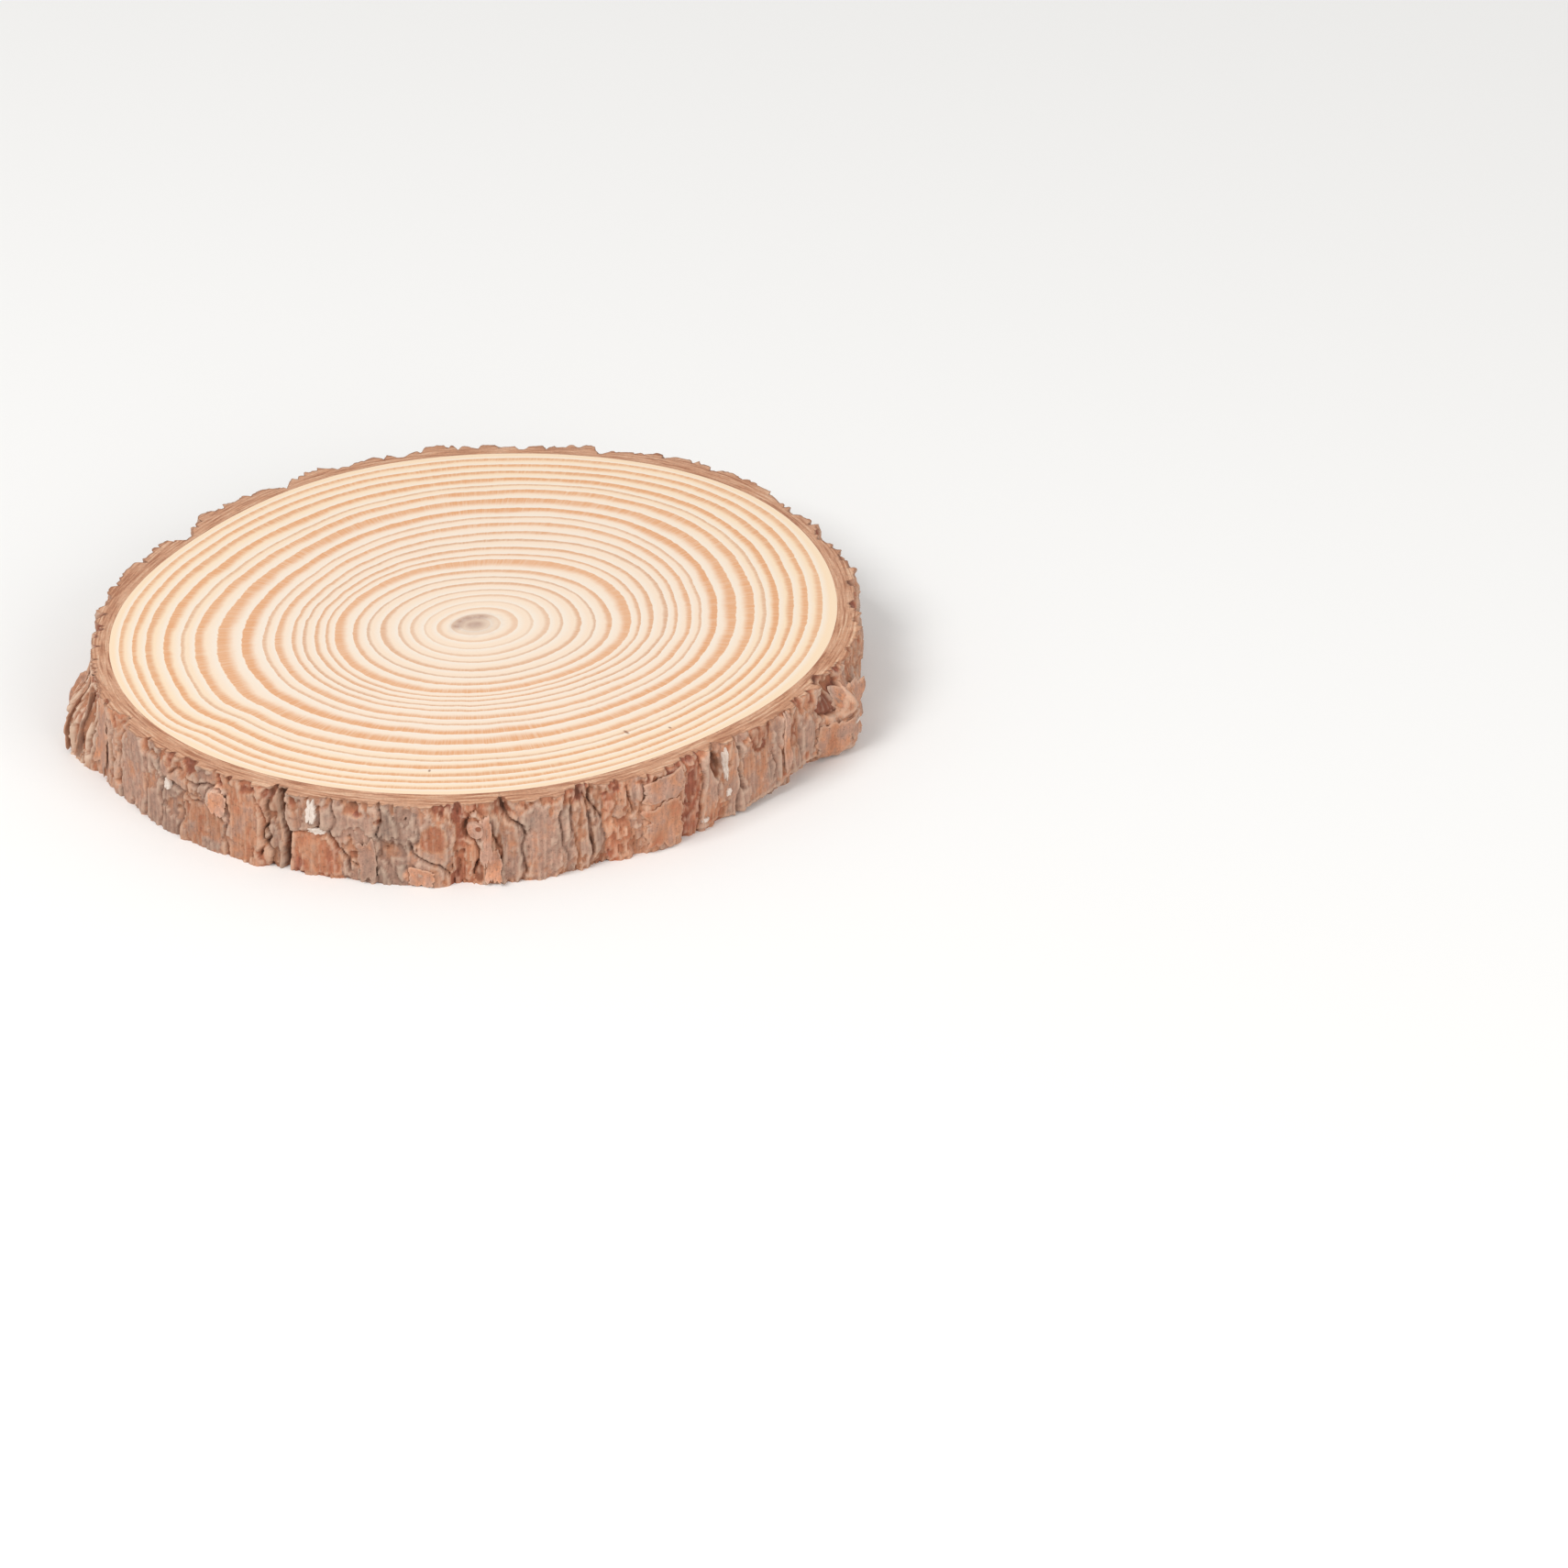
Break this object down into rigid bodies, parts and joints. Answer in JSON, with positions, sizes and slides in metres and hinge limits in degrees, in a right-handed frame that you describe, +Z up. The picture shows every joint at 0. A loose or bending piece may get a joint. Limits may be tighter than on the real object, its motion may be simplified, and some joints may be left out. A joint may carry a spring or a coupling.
{
  "type": "wood slice",
  "caption": "Flat slice sawn across a pine branch: pale wood with growth rings inside a rim of rough, plated brown bark.",
  "frame": {"origin": "middle of the lower sawn face", "axes": "+Z up, square to the two sawn faces; -Y is the side that faces the viewer in the picture, and +X is to the right"},
  "size_m": [0.141, 0.1372, 0.0156],
  "materials": {
    "pine_wood": "sawn across the grain and sanded smooth, bare and dry, with growth rings",
    "pine_bark": "natural bark in flaking plates, matte, with fissures between them"
  },
  "bodies": {
    "root": {"wood_disc": "pine_wood", "bark_ring": "pine_bark"}
  },
  "joints": []
}
